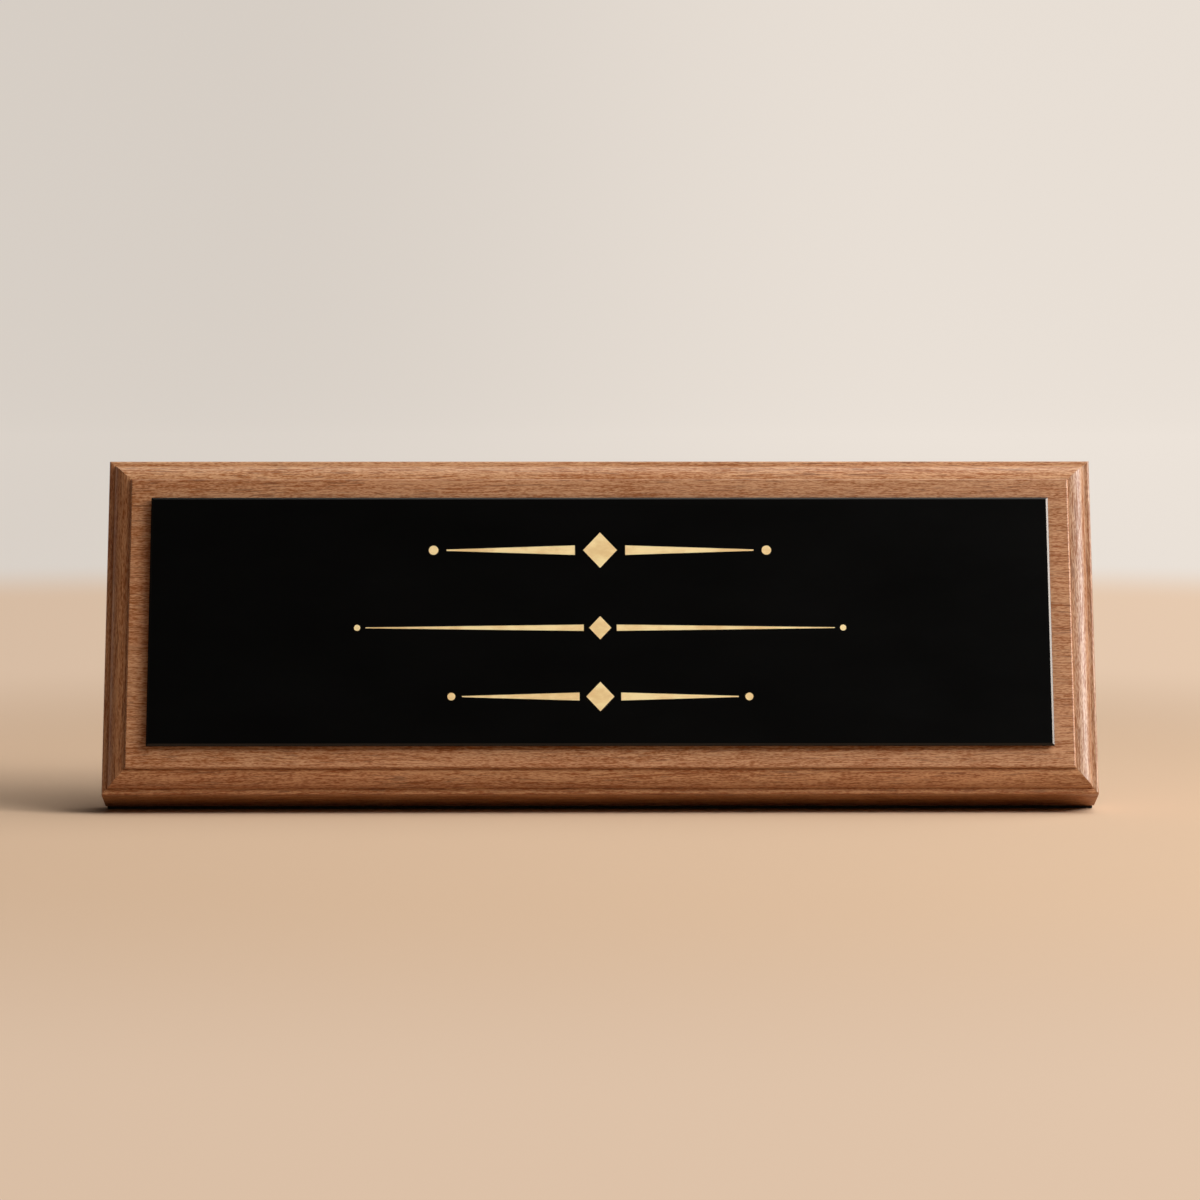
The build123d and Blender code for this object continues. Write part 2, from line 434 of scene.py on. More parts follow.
def walnut(name, board, lie, colours, polished=True):
    """Walnut of one board, with its grain along the matrix's x, polished near z 0 and oiled behind."""
    finish = new_finish(name)
    where = finish.millimetres(lie)
    grain = finish.vector("ADD", where, board_cuts[board])
    drift = finish.vector("MULTIPLY", finish.sway(grain, grain_drift_blob), grain_drift_reach)
    bent = finish.vector("ADD", grain, drift)

    def feature(kind, at):
        blob, detail, *levels = grain_features[kind]
        noise = finish.noise(at, blob, detail)
        return finish.ease(noise, *levels) if levels else noise - 0.5

    def thin_lines(kind, breadth):
        middle = feature(kind, bent)
        return (1 - finish.ease(middle * middle, 0, breadth)) * feature(kind + "_patch", bent)

    from_pith = finish.vector("SUBTRACT", finish.vector("MULTIPLY", bent, across_grain), pith)
    radius = finish.vector("LENGTH", from_pith, output="Value")
    ring = radius / ring_spacing + ring_waver_share * finish.noise(grain, ring_waver_blob, 3)
    phase = ring.math("FRACT")
    chance = finish.node("TexWhiteNoise", {"noise_dimensions": "1D"}, {"W": ring.math("FLOOR")})
    strength = faintest_ring_share + (1 - faintest_ring_share) * chance
    late = phase**late_wood_power * (1 - finish.ease(phase, *late_wood_end_shares)) * strength
    shades = {
        "late": late,
        "band": feature("band", bent),
        "streak": feature("streak", bent),
        "line": thin_lines("line", line_breadth),
        "hair": thin_lines("hair", hair_breadth),
        "fibre": feature("fibre", bent),
        "fleck": feature("fleck", bent) - 0.5,
        "cloud": feature("cloud", grain),
    }
    depth = grain_base
    for kind, weight in grain_weights.items():
        depth = depth + weight * shades[kind]
    pores = feature("pore", bent) * feature("pore_patch", bent)
    tone = finish.mix(grain_contrast * depth - grain_lift, colours.walnut_pale, colours.walnut_deep)
    tone = finish.mix(feature("red", grain), tone, colours.walnut_red, "MULTIPLY")
    # Multiplies in the board's tint. On the lippings this tint is also painted light and shade by side.
    tone = finish.mix(1.0, tone, getattr(colours, "tint_" + board), "MULTIPLY")
    tone = finish.mix(pore_share * pores, tone, colours.walnut_pore)
    front = finish.ease(finish.along(where, "Z"), polish_from, polish_full) if polished else 0
    height = 0.5 + 0.4 * shades["fibre"] - 0.2 * shades["hair"] - 0.3 * pores
    return finish.surface(
        base_color=tone,
        roughness=0.62 - 0.10 * front + 0.2 * shades["streak"] + 0.06 * shades["hair"],
        specular_ior_level=0.40,
        coat_weight=(0.70 - 0.50 * depth) * (0.12 + 0.88 * front),
        coat_roughness=0.40,
        normal=finish.bump(height, 0.03 * millimetre, 0.6),
    )


def beech(colours):
    """Bare beech of the hidden tongues, with its short flecks."""
    finish = new_finish("bare_beech")
    grain = finish.millimetres(Matrix())
    fleck = finish.ease(finish.noise(grain, (2.4, 0.5, 0.5)), 0.55, 0.68)
    cloud = finish.noise(grain, (30, 6, 6), 3)
    dark = scaled(colours.tongue, 0.55)
    return finish.surface(
        base_color=finish.mix(0.45 * fleck + 0.5 * (cloud - 0.3), colours.tongue, dark),
        roughness=0.62 + 0.1 * fleck,
        normal=finish.bump(fleck, 0.03 * millimetre, 0.4),
    )


def black_coat(lie, colours):
    """Satin black coat of the plate's face, with a faint fine texture."""
    finish = new_finish("plate_black")
    where = finish.millimetres(lie)
    speckle = finish.noise(where, (0.12, 0.12, 0.12))
    smudge = finish.noise(where, (34, 15, 15), 3)
    return finish.surface(
        base_color=finish.mix(0.6 * smudge, colours.black, scaled(colours.black, 1.7)),
        roughness=0.34 + 0.10 * (smudge - 0.5),
        specular_ior_level=0.13,
        normal=finish.bump(speckle, 0.02 * millimetre, 0.10),
    )


def glossy_edge(lie, colours):
    """Glossy black of the plate's bevel, with milling marks across the edge."""
    finish = new_finish("plate_edge_gloss")
    where = finish.millimetres(lie)
    marks = finish.noise(where, (0.14, 0.14, 0.35), 3)
    dull = finish.noise(where, (9, 9, 9), 3)
    worn = scaled(colours.plate_edge, 3)
    return finish.surface(
        base_color=finish.mix(0.5 * dull + 0.3 * marks, colours.plate_edge, worn),
        roughness=0.16 + 0.08 * (marks - 0.5) + 0.05 * (dull - 0.5),
        specular_ior_level=0.19,
        specular_tint=colours.plate_glint,
        normal=finish.bump(marks, 0.01 * millimetre, 0.2),
    )


def gilt(lie, colours):
    """Gilding of the rules, pale where it is full and deeper where it is thin."""
    finish = new_finish("gilt")
    where = finish.millimetres(lie)
    cloud = finish.noise(where, (7, 4, 4), 3)
    grit = finish.noise(where, (0.15, 0.15, 0.15))
    thin = finish.ease(cloud + 0.25 * (grit - 0.5), 0.36, 0.68)
    return finish.surface(
        base_color=finish.mix(thin, colours.gilt_pale, colours.gilt_deep),
        metallic=0.12,
        roughness=0.40 + 0.16 * thin,
        normal=finish.bump(grit, 0.01 * millimetre, 0.3),
    )


def foam(colours):
    """Closed foam of the tape, with its cells."""
    finish = new_finish("foam_tape")
    cells = finish.vector("DIVIDE", finish.millimetres(Matrix()), (0.22, 0.22, 0.22))
    cell = finish.node("TexVoronoi", {}, {"Vector": cells, "Scale": 1.0})
    return finish.surface(
        base_color=finish.mix(finish.ease(cell, 0.3, 0.8), colours.foam, scaled(colours.foam, 0.7)),
        roughness=0.85,
        normal=finish.bump(cell, 0.06 * millimetre, 0.5),
    )


def brass(lie, colours):
    """Turned brass of the screws, a little tarnished."""
    finish = new_finish("turned_brass")
    where = finish.millimetres(lie)
    turned = finish.noise(where, (0.5, 0.5, 0.5 / 6), 3)
    tarnish = finish.ease(finish.noise(where, (1.6, 1.6, 1.6), 4), 0.42, 0.72)
    return finish.surface(
        base_color=finish.mix(0.7 * tarnish, colours.brass, scaled(colours.brass, 0.45)),
        metallic=1.0,
        roughness=0.27 + 0.12 * turned + 0.2 * tarnish,
        normal=finish.bump(turned, 0.02 * millimetre, 0.3),
    )


def black_felt(colours):
    """Pressed wool felt, with short fibres in all directions."""
    finish = new_finish("black_felt")
    where = finish.millimetres(Matrix())
    bent = finish.vector("ADD", where, finish.sway(where, (0.9, 0.9, 0.9)))
    fibre = 0.5 * finish.noise(bent, (0.8, 0.06, 0.06)) + 0.5 * finish.noise(bent, (0.06, 0.8, 0.06))
    clump = finish.noise(where, (1.6, 1.6, 1.6), 3)
    fuzz = finish.ease(fibre + 0.3 * (clump - 0.5), 0.42, 0.64)
    return finish.surface(
        base_color=finish.mix(fuzz, colours.felt, scaled(colours.felt, 2.6)),
        roughness=0.95,
        specular_ior_level=0.2,
        sheen_weight=0.15,
        sheen_roughness=0.5,
        normal=finish.bump(fuzz, 0.1 * millimetre, 0.7),
    )


def pale_floor(colours):
    """Plain pale floor that turns into a backdrop further out, darkened towards the left by painted shade.
    """
    finish = new_finish("pale_floor")
    where = finish.node("TexCoord", {}, {}, "Object")
    away = finish.vector("LENGTH", where, output="Value")
    right = finish.ease(finish.along(where, "X"), -shade_reach, shade_reach)
    even = finish.ease(away, lit_floor, even_floor)
    behind = finish.ease(away, backdrop_from, backdrop_full)
    straight, mirrored, through = (
        finish.node("LightPath", {}, {}, f"Is {ray} Ray") for ray in ("Camera", "Glossy", "Transmission")
    )
    seen = straight + mirrored + through
    lit = finish.mix(even, colours.floor, black)
    distance = finish.mix(behind, colours.floor_far, colours.backdrop)
    # Painted shade: the glowing far floor and backdrop grow darker towards the left.
    shaded = finish.mix(shade_share * (1 - right), distance, black)
    return finish.surface(
        base_color=finish.mix(seen, scaled(colours.floor, bounce_share), lit),
        roughness=0.8,
        specular_ior_level=0.1,
        emission_color=finish.mix(even * seen, black, shaded),
        emission_strength=1.0,
    )


def lipping_width():
    """Width of a lipping, from its CAD box."""
    low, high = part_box("lipping_left")
    return high.x - low.x


def board_lie(sizes):
    """The matrix from the board's own axes to the object's."""
    low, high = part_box("field_panel")
    inset = lipping_width()
    back = sizes.thickness
    shift_y = high.y - (sizes.height - inset) * sin(sizes.lean) - back * cos(sizes.lean)
    shift_z = low.z - inset * cos(sizes.lean) + back * sin(sizes.lean)
    return Matrix.Translation((0, shift_y, shift_z)) @ Matrix.Rotation(pi / 2 - sizes.lean, 4, "X")


def board_sides(sizes):
    """Length of each side of the board, and the matrix that lays a strip along x on it, its edge at y 0."""
    low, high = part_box("lipping_top")
    width = high.x - low.x
    middle = sizes.height / 2

    def turned(x, y, turn):
        return Matrix.Translation((x, y, 0)) @ Matrix.Rotation(turn, 4, "Z")

    return {
        "bottom": (width, Matrix()),
        "top": (width, turned(0, sizes.height, pi)),
        "left": (sizes.height, turned(-width / 2, middle, -pi / 2)),
        "right": (sizes.height, turned(width / 2, middle, pi / 2)),
    }


def board_box(node, lie):
    """The lowest and the highest corner of a CAD node along the board's own axes."""
    back = lie.inverted()
    corners = [back @ corner.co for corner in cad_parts[node].data.vertices]
    return [Vector(end(corner[axis] for corner in corners) for axis in range(3)) for end in (min, max)]


def plate_half_height(board, plate):
    """Half of the plate's height up the board, from the height of its CAD box."""
    low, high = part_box("name_plate")
    upright = high.z - low.z
    square_edge = plate.thickness - plate.bevel_drop
    return (upright - square_edge * sin(board.lean)) / cos(board.lean) / 2


def screw_seats(board, wedge):
    """Where the heads of the left and the right screw sit on the board."""
    up = wedge.height - wedge.screw_below
    behind = board.thickness + wedge.grip
    return [Vector((side * wedge.screw_spacing / 2, up, -behind)) for side in (-1, 1)]


def near(first, second):
    """Whether two lengths are the same."""
    return abs(first - second) < nearness


def deselect_all():
    """Selects no piece."""
    bpy.ops.object.select_all(action="DESELECT")


def select_alone(piece):
    """Selects one piece and makes it the active one."""
    deselect_all()
    piece.select_set(True)
    bpy.context.view_layer.objects.active = piece


def edit_mode(piece):
    """Opens one piece alone in edit mode."""
    select_alone(piece)
    bpy.ops.object.mode_set(mode="EDIT")


def object_mode():
    """Closes edit mode."""
    bpy.ops.object.mode_set(mode="OBJECT")


def select_whole():
    """Selects all of the piece in edit mode."""
    bpy.ops.mesh.select_all(action="SELECT")


def named(name):
    """Names the new primitive, and puts its place, turn and size into its mesh."""
    piece = bpy.context.object
    piece.name = name
    piece.data.name = name
    bpy.ops.object.transform_apply(location=True, rotation=True, scale=True)
    return piece


def copy_of(piece, name):
    """A copy of a piece, with its own mesh."""
    copy = piece.copy()
    copy.data = piece.data.copy()
    copy.name = name
    copy.data.name = name
    bpy.context.scene.collection.objects.link(copy)
    return copy


def block(name, low, high):
    """A box between two corners."""
    low, high = Vector(low), Vector(high)
    deselect_all()
    bpy.ops.mesh.primitive_cube_add(size=1, location=(low + high) / 2, scale=high - low)
    return named(name)


def pick(piece, kind, wanted):
    """Selects the vertices, edges or faces that pass a test."""
    bpy.ops.mesh.select_mode(type=kind)
    bpy.ops.mesh.select_all(action="DESELECT")
    shape = bmesh.from_edit_mesh(piece.data)
    parts = {"VERT": shape.verts, "EDGE": shape.edges, "FACE": shape.faces}
    for part in parts[kind]:
        part.select_set(wanted(part))
    shape.select_flush_mode()
    bmesh.update_edit_mesh(piece.data)


def lies(part, wanted):
    """Whether a vertex, or all corners of an edge or a face, lie where they are wanted."""
    return all(wanted(corner.co) for corner in getattr(part, "verts", [part]))


def pick_where(piece, kind, wanted):
    """Selects the vertices, edges or faces that lie where they are wanted."""
    pick(piece, kind, lambda part: lies(part, wanted))


def raise_by(shift):
    """Extrudes what is selected."""
    bpy.ops.mesh.extrude_region_move(TRANSFORM_OT_translate={"value": shift})


def stretch(factors, centre):
    """Scales what is selected along each axis, about a point."""
    bpy.ops.transform.resize(value=factors, center_override=centre)


def saw(point, outwards, off=True):
    """Cuts along a plane and takes off what lies outwards, or only leaves a line of edges there."""
    select_whole()
    bpy.ops.mesh.bisect(plane_co=point, plane_no=outwards, use_fill=off, clear_outer=off)


def bevel(width, segments):
    """Rounds the selected edges."""
    bpy.ops.mesh.bevel(offset=width, segments=segments, affect="EDGES", clamp_overlap=False)


def merge():
    """Merges doubles all over the piece."""
    select_whole()
    bpy.ops.mesh.remove_doubles(threshold=nearness)


def modifier(piece, kind, **settings):
    """Adds a modifier to the piece and applies it."""
    select_alone(piece)
    bpy.ops.object.modifier_add(type=kind)
    added = piece.modifiers[-1]
    for name, value in settings.items():
        setattr(added, name, value)
    bpy.ops.object.modifier_apply(modifier=added.name)


def ease_arrises(piece, width, segments=arris_segments, sharp=sharp_from, smooth=smooth_to):
    """Eases every sharp edge a little, and smooths the shading between flat faces."""
    modifier(piece, "BEVEL", width=width, segments=segments, limit_method="ANGLE", angle_limit=sharp)
    bpy.ops.object.shade_smooth_by_angle(angle=smooth)
    modifier(piece, "WEIGHTED_NORMAL", keep_sharp=True, weight=flat_face_weight)


def cut_out(piece, cutter):
    """Cuts the shape of another piece out of this one, and deletes that piece."""
    modifier(piece, "BOOLEAN", object=cutter, operation="DIFFERENCE", solver="EXACT")
    bpy.data.objects.remove(cutter)


def lay(piece, lie):
    """Moves a piece from its own axes to a place in the frame."""
    select_alone(piece)
    piece.matrix_world = lie
    bpy.ops.object.transform_apply(location=True, rotation=True, scale=True)


def deliver(piece, finishes, nodes):
    """Gives a piece its finishes and its place in the frame, and hides the CAD nodes that it stands for."""
    for finish in finishes:
        piece.data.materials.append(finish)
    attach(piece, "root")
    if nodes:
        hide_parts(*nodes)


def moulded_strip(name, length, sizes):
    """A lipping along x: a step, an ovolo, a ledge, rounded outer arrises and two mitres."""
    half = length / 2
    width = lipping_width()
    ledge_z = -(sizes.step + sizes.ovolo)
    run = width - sizes.ledge
    crest = ledge_z + run
    strip = block(name, (-half, 0, -sizes.thickness), (half, width, ledge_z))
    edit_mode(strip)
    saw((0, sizes.ledge, 0), (0, 1, 0), off=False)
    pick_where(strip, "FACE", lambda at: near(at.z, ledge_z) and at.y > sizes.ledge - nearness)
    raise_by((0, 0, run))
    pick_where(strip, "EDGE", lambda at: near(at.y, sizes.ledge) and near(at.z, crest))
    bevel(run, ovolo_segments)
    merge()
    pick_where(strip, "VERT", lambda at: at.z > ledge_z + nearness)
    stretch((1, 1, sizes.ovolo / run), (0, 0, ledge_z))
    pick_where(strip, "EDGE", lambda at: near(at.y, 0) and near(at.z, ledge_z))
    bevel(sizes.ledge_round, small_round_segments)
    pick_where(strip, "EDGE", lambda at: near(at.y, 0) and near(at.z, -sizes.thickness))
    bevel(sizes.back_round, back_round_segments)
    saw((-half, 0, 0), (-1, 1, 0))
    saw((half, 0, 0), (1, 1, 0))
    merge()
    object_mode()
    return strip


class NAMEPLATE_OT_panel(bpy.types.Operator):
    """Model the walnut panel that the plate is fixed to"""

    bl_idname = "nameplate.panel"
    bl_label = "Walnut panel"

    def execute(self, context):
        sizes = context.scene.nameplate_board
        colours = context.scene.nameplate_colours
        lie = board_lie(sizes)
        inset = lipping_width()
        low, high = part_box("field_panel")
        top = sizes.height - inset
        panel = block("walnut_panel", (low.x, inset, -sizes.thickness), (high.x, top, 0))
        edit_mode(panel)
        pick_where(panel, "EDGE", lambda at: near(at.z, 0))
        bevel(sizes.field_round, small_round_segments)
        object_mode()
        lay(panel, lie)
        ease_arrises(panel, sizes.arris)
        dip = Matrix.Rotation(sizes.grain_dip, 4, "Y")
        slant = Matrix.Rotation(sizes.grain_slant, 4, "Z")
        finish = walnut("panel_walnut", "panel", lie @ dip @ slant, colours)
        deliver(panel, [finish], ["field_panel"])
        return {"FINISHED"}


class NAMEPLATE_OT_lippings(bpy.types.Operator):
    """Model the mitred, moulded lippings, two of each length"""

    bl_idname = "nameplate.lippings"
    bl_label = "Lippings"

    def execute(self, context):
        sizes = context.scene.nameplate_board
        colours = context.scene.nameplate_colours
        lie = board_lie(sizes)
        sides = board_sides(sizes)
        felt_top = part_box("felt_front")[1]
        for first, second in (("bottom", "top"), ("left", "right")):
            strip = moulded_strip("lipping_" + first + "_moulded", sides[first][0], sizes)
            other = copy_of(strip, "lipping_" + second + "_moulded")
            for side, piece in ((first, strip), (second, other)):
                turned = lie @ sides[side][1]
                lay(piece, turned)
                if side != "top":
                    edit_mode(piece)
                    saw((0, 0, felt_top.z), (0, 0, -1))
                    object_mode()
                ease_arrises(piece, sizes.arris)
                finish = walnut("lipping_walnut_" + side, side, turned, colours)
                deliver(piece, [finish], ["lipping_" + side])
        return {"FINISHED"}


class NAMEPLATE_OT_plate(bpy.types.Operator):
    """Model the black plate with its bevelled edges"""

    bl_idname = "nameplate.plate"
    bl_label = "Metal plate"

    def execute(self, context):
        sizes = context.scene.nameplate_plate
        board = context.scene.nameplate_board
        colours = context.scene.nameplate_colours
        lie = board_lie(board)
        low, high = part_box("name_plate")
        front = sizes.tape + sizes.thickness
        half_height = plate_half_height(board, sizes)
        middle = board.height / 2
        lower, upper = middle - half_height, middle + half_height
        plate = block("bevelled_plate", (low.x, lower, sizes.tape), (high.x, upper, front))
        edit_mode(plate)
        pick_where(plate, "FACE", lambda at: near(at.z, front))
        bpy.ops.mesh.inset(thickness=sizes.bevel)
        rim = half_height - sizes.bevel / 2
        side = high.x - sizes.bevel / 2

        def on_rim(at):
            return near(at.z, front) and (abs(at.y - middle) > rim or abs(at.x) > side)

        pick_where(plate, "VERT", on_rim)
        bpy.ops.transform.translate(value=(0, 0, -sizes.bevel_drop))
        object_mode()
        plate.data.materials.append(black_coat(lie, colours))
        plate.data.materials.append(glossy_edge(lie, colours))
        for face in plate.data.polygons:
            face.material_index = 0 if near(face.center.z, front) else 1
        ease_arrises(plate, sizes.arris, sharp=plate_sharp_from, smooth=plate_sharp_from)
        lay(plate, lie)
        deliver(plate, [], ["name_plate"])
        return {"FINISHED"}


def gilt_rule(name, width, lozenge, thickness):
    """A swelled rule along x: a lozenge in the middle, and on each side a bar that thins towards a bead."""
    bead = lozenge * bead_share
    gap = lozenge * gap_share
    start = lozenge * lozenge_width_share / 2 + gap
    bar = width / 2 - start - gap - 2 * bead
    deselect_all()
    bpy.ops.mesh.primitive_circle_add(vertices=4, radius=lozenge / 2, fill_type="NGON")
    rule = named(name)
    edit_mode(rule)
    select_whole()
    stretch((lozenge_width_share, 1, 1), (0, 0, 0))
    for side in (-1, 1):
        middle = side * (start + bar / 2)
        bpy.ops.mesh.primitive_plane_add(size=bar, location=(middle, 0, 0))
        stretch((1, lozenge * bar_share / bar, 1), (middle, 0, 0))
        tip = side * (start + bar)
        pick_where(rule, "VERT", lambda at: near(at.x, tip))
        stretch((1, bar_tip_share, 1), (tip, 0, 0))
        bpy.ops.mesh.primitive_circle_add(
            vertices=bead_sides, radius=bead, fill_type="NGON", location=(side * (width / 2 - bead), 0, 0)
        )
    select_whole()
    raise_by((0, 0, thickness))
    select_whole()
    bpy.ops.mesh.normals_make_consistent(inside=False)
    object_mode()
    return rule


class NAMEPLATE_OT_rules(bpy.types.Operator):
    """Gild three swelled rules on the plate"""

    bl_idname = "nameplate.rules"
    bl_label = "Gilt rules"

    def execute(self, context):
        sizes = context.scene.nameplate_plate
        lie = board_lie(context.scene.nameplate_board)
        finish = gilt(lie, context.scene.nameplate_colours)
        front = sizes.tape + sizes.thickness
        for row in ("upper", "middle", "lower"):
            up, width, lozenge = getattr(sizes, row + "_rule")
            rule = gilt_rule("gilt_rule_" + row, width, lozenge, sizes.gilt)
            lay(rule, lie @ Matrix.Translation((0, up, front)))
            ease_arrises(rule, sizes.gilt * gilt_arris_share)
            deliver(rule, [finish], [])
        return {"FINISHED"}


def rounded_block(name, low, high, edge_round):
    """A box with rounded edges, left open in edit mode."""
    piece = block(name, low, high)
    edit_mode(piece)
    select_whole()
    bevel(edge_round, soft_round_segments)
    return piece


class NAMEPLATE_OT_tape(bpy.types.Operator):
    """Model one strip of foam tape and copy it to the plate's other edge"""

    bl_idname = "nameplate.tape"
    bl_label = "Foam tape"

    def execute(self, context):
        sizes = context.scene.nameplate_plate
        lie = board_lie(context.scene.nameplate_board)
        finish = foam(context.scene.nameplate_colours)
        low, high = board_box("tape_upper", lie)
        upper = rounded_block("foam_strip_upper", low, high, sizes.tape * tape_round_share)
        object_mode()
        lower = copy_of(upper, "foam_strip_lower")
        down = Matrix.Translation(board_box("tape_lower", lie)[0] - low)
        for strip, spot, node in ((upper, lie, "tape_upper"), (lower, lie @ down, "tape_lower")):
            lay(strip, spot)
            ease_arrises(strip, sizes.tape * tape_arris_share, soft_round_segments)
            deliver(strip, [finish], [node])
        return {"FINISHED"}


class NAMEPLATE_OT_wedge(bpy.types.Operator):
    """Saw the walnut wedge behind the board and bore it for its screws"""

    bl_idname = "nameplate.wedge"
    bl_label = "Walnut wedge"

    def execute(self, context):
        board = context.scene.nameplate_board
        sizes = context.scene.nameplate_wedge
        colours = context.scene.nameplate_colours
        lie = board_lie(board)
        turn = lie.to_3x3()
        level = lie.inverted()
        low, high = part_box("rear_wedge")
        back = -board.thickness
        peak = lie @ Vector((0, sizes.height, back))
        shoulder = lie @ Vector((0, sizes.height, back - sizes.top))
        heel = Vector((0, high.y, low.z + sizes.heel))
        wedge = block("walnut_wedge", low, (high.x, high.y, peak.z))
        edit_mode(wedge)
        saw(lie @ Vector((0, 0, back)), turn @ Vector((0, 0, 1)))
        saw(peak, turn @ Vector((0, 1, 0)))
        saw(shoulder, Vector((1, 0, 0)).cross(heel - shoulder))
        merge()

        def standing(at):
            return at.z < low.z + nearness

        def glued(at):
            return (level @ at).z > back - 10 * nearness

        pick(wedge, "EDGE", lambda edge: not lies(edge, standing) and not lies(edge, glued))
        bevel(sizes.edge_round, wedge_round_segments)
        object_mode()
        bore = Vector((0, 0, -high.y))
        for seat in screw_seats(board, sizes):
            deselect_all()
            bpy.ops.mesh.primitive_cylinder_add(
                vertices=bore_sides,
                radius=sizes.head / 2 + sizes.bore_gap,
                depth=bore.length,
                location=lie @ (seat + bore / 2),
                rotation=lie.to_euler(),
            )
            cut_out(wedge, named("counterbore"))
        ease_arrises(wedge, board.arris)
        dip = Matrix.Rotation(sizes.grain_dip, 4, "Y")
        finish = walnut("wedge_walnut", "wedge", lie @ dip, colours, polished=False)
        deliver(wedge, [finish], ["rear_wedge"])
        return {"FINISHED"}


def scale_ring(piece, at, radius):
    """Scales the selected ring of vertices at a height to a radius round the z axis."""
    shape = bmesh.from_edit_mesh(piece.data)
    now = max((corner.co.xy.length for corner in shape.verts if corner.select), default=radius)
    factor = radius / now
    stretch((factor, factor, 1), (0, 0, at))


def wood_screw(name, length, sizes):
    """A countersunk screw up z with its head at 0, slotted, with rings for a thread."""
    deselect_all()
    bpy.ops.mesh.primitive_cone_add(
        vertices=screw_sides,
        radius1=sizes.head / 2,
        radius2=sizes.shank / 2,
        depth=sizes.head_depth,
        location=(0, 0, sizes.head_depth / 2),
    )
    screw = named(name)
    edit_mode(screw)
    pick_where(screw, "FACE", lambda at: near(at.z, sizes.head_depth))
    thread = length * thread_share
    at = length - thread
    raise_by((0, 0, at - sizes.head_depth))
    for turn in range(thread_turns):
        thinned = max(0, turn / thread_turns - thread_full_share) / (1 - thread_full_share)
        crest = sizes.shank / 2 * (1 - (1 - thread_tip_share) * thinned)
        root = crest * thread_root_share
        rings = (root, root, crest, crest)
        rise = thread / thread_turns / len(rings)
        for radius in rings:
            raise_by((0, 0, rise))
            at += rise
            scale_ring(screw, at, radius)
    object_mode()
    half = sizes.slot / 2
    cut_out(screw, block("driver_slot", (-sizes.head, -half, -sizes.slot), (sizes.head, half, sizes.slot)))
    return screw


class NAMEPLATE_OT_screws(bpy.types.Operator):
    """Turn one slotted brass wood screw and copy it"""

    bl_idname = "nameplate.screws"
    bl_label = "Wood screws"

    def execute(self, context):
        board = context.scene.nameplate_board
        sizes = context.scene.nameplate_wedge
        lie = board_lie(board)
        finish = brass(lie, context.scene.nameplate_colours)
        left = wood_screw("wood_screw_left", sizes.grip + board.thickness - sizes.cover, sizes)
        right = copy_of(left, "wood_screw_right")
        for screw, seat, turn in zip((left, right), screw_seats(board, sizes), screw_slot_turns):
            lay(screw, lie @ Matrix.Translation(seat) @ Matrix.Rotation(turn, 4, "Z"))
            ease_arrises(screw, board.arris)
            deliver(screw, [finish], ["wedge_screws"] if screw == left else [])
        return {"FINISHED"}


class NAMEPLATE_OT_felt(bpy.types.Operator):
    """Model the felt strips that the part stands on"""

    bl_idname = "nameplate.felt"
    bl_label = "Felt strips"

    def execute(self, context):
        sizes = context.scene.nameplate_felt
        finish = black_felt(context.scene.nameplate_colours)
        least_rows = 3
        for end in ("front", "rear"):
            low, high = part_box("felt_" + end)
            strip = rounded_block("felt_strip_" + end, low, high, sizes.edge_round)
            for axis, side in enumerate(high - low):
                across = Vector((0, 0, 0))
                across[axis] = 1
                rows = max(least_rows, round(side / sizes.stitch))
                for row in range(1, rows):
                    saw(low + (high - low) * row / rows, across, off=False)
            inner = sizes.edge_round + nearness
            pick_where(strip, "VERT", lambda at: low.z + inner < at.z < high.z - inner)
            bpy.ops.transform.vertex_random(offset=sizes.fuzz, uniform=1.0, normal=0.0, seed=3)
            object_mode()
            bpy.ops.object.shade_smooth_by_angle(angle=felt_smooth_to)
            deliver(strip, [finish], ["felt_" + end])
        return {"FINISHED"}


class NAMEPLATE_OT_tongues(bpy.types.Operator):
    """Give the hidden tongues their finish"""

    bl_idname = "nameplate.tongues"
    bl_label = "Tongues"

    def execute(self, context):
        finish = beech(context.scene.nameplate_colours)
        for side in board_sides(context.scene.nameplate_board):
            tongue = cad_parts["tongue_" + side]
            tongue.data.materials.clear()
            tongue.data.materials.append(finish)
        return {"FINISHED"}


def aim(origin, target):
    """How a lamp or a camera is turned to look from one point at another."""
    return (Vector(target) - Vector(origin)).to_track_quat("-Z", "Y").to_euler()


def lay_floor(studio, colours):
    """Lays a round floor whose edge curves up into a cove."""
    deselect_all()
    bpy.ops.mesh.primitive_circle_add(vertices=floor_sides, radius=studio.floor_radius, fill_type="NGON")
    floor = named("floor")
    edit_mode(floor)
    reach, height = studio.floor_radius, 0
    for step in range(cove_steps + 1):
        slant = pi / 2 * step / cove_steps
        wider = studio.floor_radius * cove_from_share + studio.floor_rise * sin(slant)
        higher = studio.floor_rise * (1 - cos(slant))
        pick(floor, "EDGE", lambda edge: edge.is_boundary)
        bpy.ops.mesh.extrude_edges_move(TRANSFORM_OT_translate={"value": (0, 0, higher - height)})
        stretch((wider / reach, wider / reach, 1), (0, 0, 0))
        reach, height = wider, higher
    object_mode()
    bpy.ops.object.shade_smooth()
    floor.data.materials.append(pale_floor(colours))


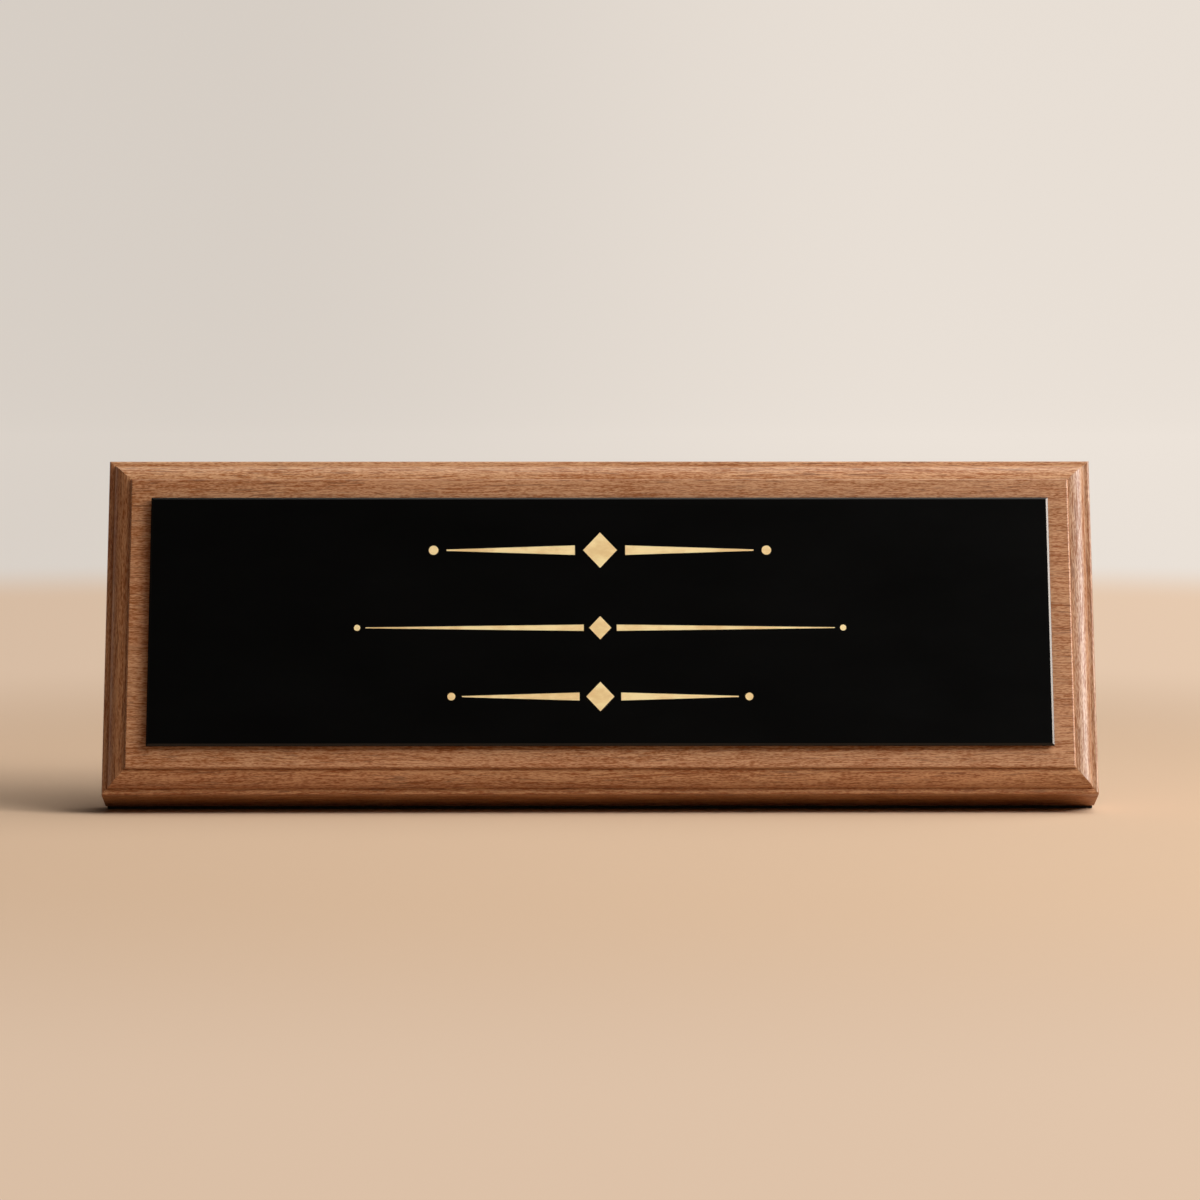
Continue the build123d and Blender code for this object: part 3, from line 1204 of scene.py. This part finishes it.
def hang_lamps(studio):
    """Hangs a soft key light, a softbox as a window and a small lamp for the glints."""
    bpy.ops.object.light_add(type="SUN", rotation=aim(studio.key_from, (0, 0, 0)))
    key = bpy.context.object
    key.name = "soft_key"
    key.data.energy = studio.key_strength
    key.data.angle = studio.key_spread
    softboxes = {
        "window": (studio.window_at, studio.window_wide, studio.window_tall, studio.window_power),
        "glint": (studio.glint_at, studio.glint_wide, studio.glint_wide, studio.glint_power),
    }
    for name, (at, wide, tall, power) in softboxes.items():
        bpy.ops.object.light_add(type="AREA", location=at, rotation=aim(at, studio.target))
        softbox = bpy.context.object
        softbox.name = name
        softbox.data.shape = "RECTANGLE"
        softbox.data.size = wide
        softbox.data.size_y = tall
        softbox.data.energy = power
        softbox.data.spread = studio.window_spread


def light_room(scene, studio, colours):
    """Gives the room round the stage a faint even light."""
    scene.world = bpy.data.worlds.new("studio")
    sky = Finish(scene.world)
    rise = sky.along(sky.node("TexCoord", {}, {}, "Generated"), "Z")
    overhead = sky.ease(rise, studio.sky_low_to, studio.sky_high_from)
    tone = sky.mix(overhead, colours.sky_low, colours.sky_high)
    background = sky.node("Background", {}, {"Color": tone, "Strength": 1.0})
    sky.node("OutputWorld", {}, {"Surface": background})


class NAMEPLATE_OT_stage(bpy.types.Operator):
    """Set up the floor, the lamps and the camera"""

    bl_idname = "nameplate.stage"
    bl_label = "Stage"

    def execute(self, context):
        studio = context.scene.nameplate_studio
        colours = context.scene.nameplate_colours
        lay_floor(studio, colours)
        hang_lamps(studio)
        light_room(context.scene, studio, colours)
        bpy.ops.object.camera_add(location=studio.camera, rotation=aim(studio.camera, studio.target))
        context.scene.camera = context.object
        context.scene.camera.data.lens = studio.lens
        context.scene.view_settings.view_transform = "Standard"
        return {"FINISHED"}


property_groups = {
    "nameplate_board": BoardSizes,
    "nameplate_plate": PlateSizes,
    "nameplate_wedge": WedgeSizes,
    "nameplate_felt": FeltSizes,
    "nameplate_colours": FinishColours,
    "nameplate_studio": StudioSizes,
}
operators = [
    NAMEPLATE_OT_panel,
    NAMEPLATE_OT_lippings,
    NAMEPLATE_OT_plate,
    NAMEPLATE_OT_rules,
    NAMEPLATE_OT_tape,
    NAMEPLATE_OT_wedge,
    NAMEPLATE_OT_screws,
    NAMEPLATE_OT_felt,
    NAMEPLATE_OT_tongues,
    NAMEPLATE_OT_stage,
]


class NAMEPLATE_PT_sidebar(bpy.types.Panel):
    """Lists the pieces, their sizes and their colours"""

    bl_label = "Desk name plate"
    bl_idname = "NAMEPLATE_PT_sidebar"
    bl_space_type = "VIEW_3D"
    bl_region_type = "UI"
    bl_category = "Name plate"

    def draw(self, context):
        for operator in operators:
            self.layout.operator(operator.bl_idname)
        for name, group in property_groups.items():
            box = self.layout.box()
            for field in group.__annotations__:
                box.prop(getattr(context.scene, name), field)


def register():
    """Adds the sizes, the operators and the panel to Blender."""
    for added in (*property_groups.values(), *operators, NAMEPLATE_PT_sidebar):
        bpy.utils.register_class(added)
    for name, group in property_groups.items():
        setattr(bpy.types.Scene, name, bpy.props.PointerProperty(type=group))


def unregister():
    """Takes them away again."""
    for name in property_groups:
        delattr(bpy.types.Scene, name)
    for added in (NAMEPLATE_PT_sidebar, *operators, *property_groups.values()):
        bpy.utils.unregister_class(added)


def main():
    """Builds every piece and the stage."""
    register()
    bpy.ops.nameplate.panel()
    bpy.ops.nameplate.lippings()
    bpy.ops.nameplate.plate()
    bpy.ops.nameplate.rules()
    bpy.ops.nameplate.tape()
    bpy.ops.nameplate.wedge()
    bpy.ops.nameplate.screws()
    bpy.ops.nameplate.felt()
    bpy.ops.nameplate.tongues()
    bpy.ops.nameplate.stage()


if __name__ == "__main__":
    main()
